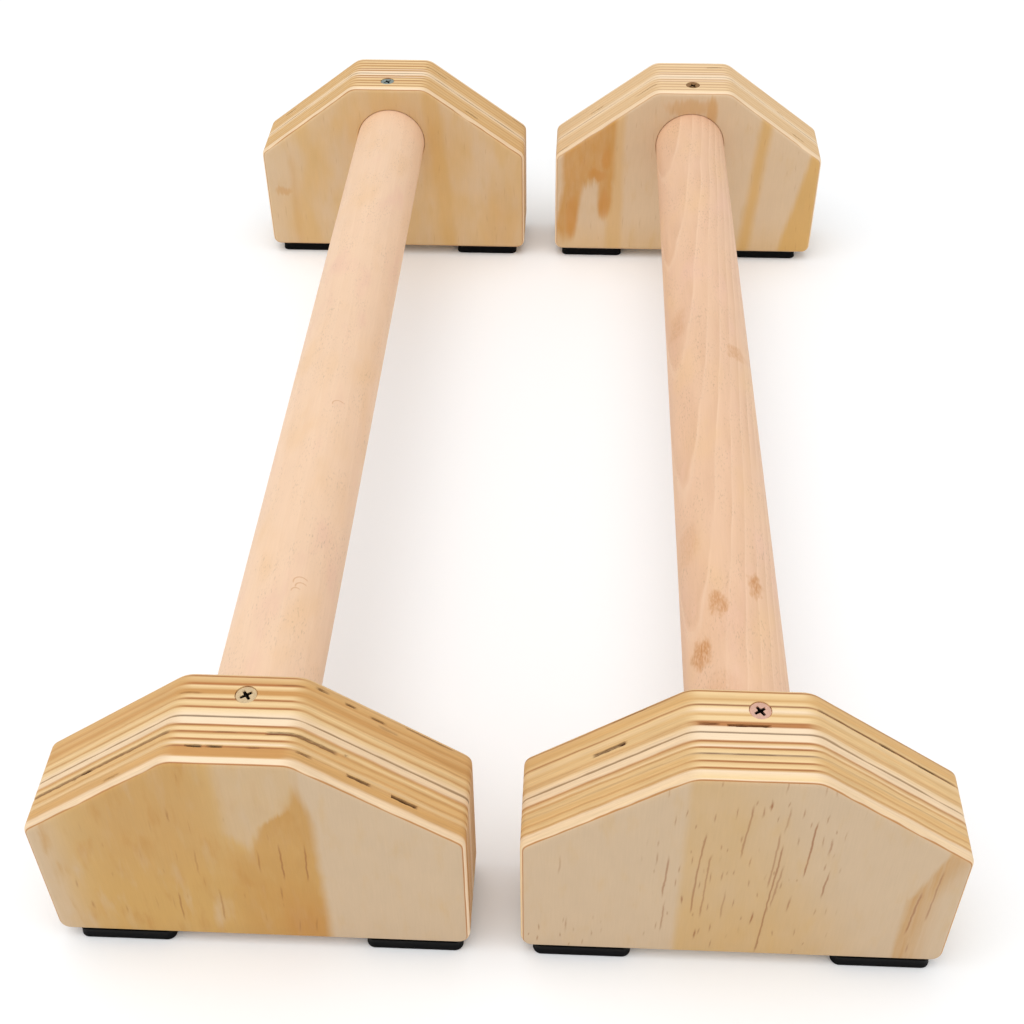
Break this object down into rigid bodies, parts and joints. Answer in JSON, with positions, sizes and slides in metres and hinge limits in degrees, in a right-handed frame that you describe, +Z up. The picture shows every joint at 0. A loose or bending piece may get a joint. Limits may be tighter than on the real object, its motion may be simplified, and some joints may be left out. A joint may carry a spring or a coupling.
{
  "type": "parallel bars",
  "caption": "Pair of low free-standing parallel bars, each a round beech handle between hexagonal laminated plywood end blocks on rubber pads.",
  "frame": {"origin": "on the floor, in the middle of the pair", "axes": "+Z up, +Y along the bars towards the rear, +X across from the left bar to the right bar"},
  "size_m": [0.297, 0.47, 0.099],
  "materials": {
    "beech": "fine sanded, unvarnished",
    "plywood": "sanded softwood plywood, unvarnished",
    "screw_steel": "zinc plated",
    "foot_rubber": "matte"
  },
  "bodies": {
    "left_bar": {"left_handle": "beech", "left_front_inner_board": "plywood", "left_front_outer_board": "plywood", "left_front_screw": "screw_steel", "left_front_outboard_foot": "foot_rubber", "left_front_inboard_foot": "foot_rubber", "left_rear_inner_board": "plywood", "left_rear_outer_board": "plywood", "left_rear_screw": "screw_steel", "left_rear_outboard_foot": "foot_rubber", "left_rear_inboard_foot": "foot_rubber"},
    "right_bar": {"right_handle": "beech", "right_front_inner_board": "plywood", "right_front_outer_board": "plywood", "right_front_screw": "screw_steel", "right_front_outboard_foot": "foot_rubber", "right_front_inboard_foot": "foot_rubber", "right_rear_inner_board": "plywood", "right_rear_outer_board": "plywood", "right_rear_screw": "screw_steel", "right_rear_outboard_foot": "foot_rubber", "right_rear_inboard_foot": "foot_rubber"}
  },
  "joints": [
    {"name": "bar_spacing", "type": "slide", "parent": "left_bar", "child": "right_bar", "axis": [1, 0, 0], "range_m": [-0.015, 0.45]}
  ]
}
